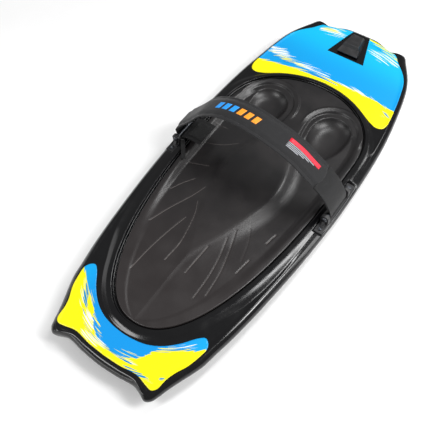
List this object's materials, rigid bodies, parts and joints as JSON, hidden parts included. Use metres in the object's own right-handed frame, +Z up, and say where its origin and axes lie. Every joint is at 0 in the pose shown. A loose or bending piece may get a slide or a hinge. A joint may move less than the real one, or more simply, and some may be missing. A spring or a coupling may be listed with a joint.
{
  "type": "kneeboard",
  "caption": "Towed kneeboard: a gloss black foam-filled hull with a moulded knee pad, nose and tail decals, a tow hook and a padded thigh strap that opens on a side pivot.",
  "frame": {"origin": "middle of the bounding box at the height of the surface that the board lies on", "axes": "+Y towards the nose, +X to the rider's right, +Z up out of the deck"},
  "size_m": [0.517, 1.256, 0.2569],
  "materials": {
    "hull_gloss_black": "gloss",
    "hull_foam": "matte",
    "moulded_nylon": "satin",
    "eva_foam": "matte",
    "vinyl_decal": "gloss",
    "stainless": "polished",
    "brass_insert": "satin",
    "strap_cover_neoprene": "matte",
    "black_webbing": "matte",
    "hook_and_loop": "matte",
    "badge_blue": "satin",
    "badge_red": "satin"
  },
  "bodies": {
    "board": {"hull_shell": "hull_gloss_black", "foam_core": "hull_foam", "fill_plug": "moulded_nylon", "knee_pad": "eva_foam", "nose_decal": "vinyl_decal", "tail_decal": "vinyl_decal", "tow_hook": "moulded_nylon", "strap_bracket_left": "moulded_nylon", "pivot_bolt_left": "stainless", "pivot_nut_left": "stainless", "strap_bar_left": "stainless", "bracket_screw_left_aft": "stainless", "screw_insert_left_aft": "brass_insert", "bracket_screw_left_fore": "stainless", "screw_insert_left_fore": "brass_insert", "strap_bracket_right": "moulded_nylon", "pivot_bolt_right": "stainless", "pivot_nut_right": "stainless", "strap_bar_right": "stainless", "bracket_screw_right_aft": "stainless", "screw_insert_right_aft": "brass_insert", "bracket_screw_right_fore": "stainless", "screw_insert_right_fore": "brass_insert", "strap_webbing_left": "black_webbing", "pull_tab": "black_webbing"},
    "strap": {"strap_cover": "strap_cover_neoprene", "strap_webbing_right": "black_webbing", "loop_tape": "hook_and_loop", "strap_badge_left": "badge_blue", "strap_badge_right": "badge_red"},
    "tail": {"strap_tail": "black_webbing", "hook_tape": "hook_and_loop"}
  },
  "joints": [
    {"name": "strap_release", "type": "hinge", "parent": "board", "child": "strap", "pos_m": [0.239, 0.043, 0.081], "axis": [0, 1, 0], "range_deg": [0, 110]},
    {"name": "tail_lift", "type": "hinge", "parent": "board", "child": "tail", "pos_m": [-0.239, 0.043, 0.081], "axis": [0, 1, 0], "range_deg": [-48, 0]}
  ]
}
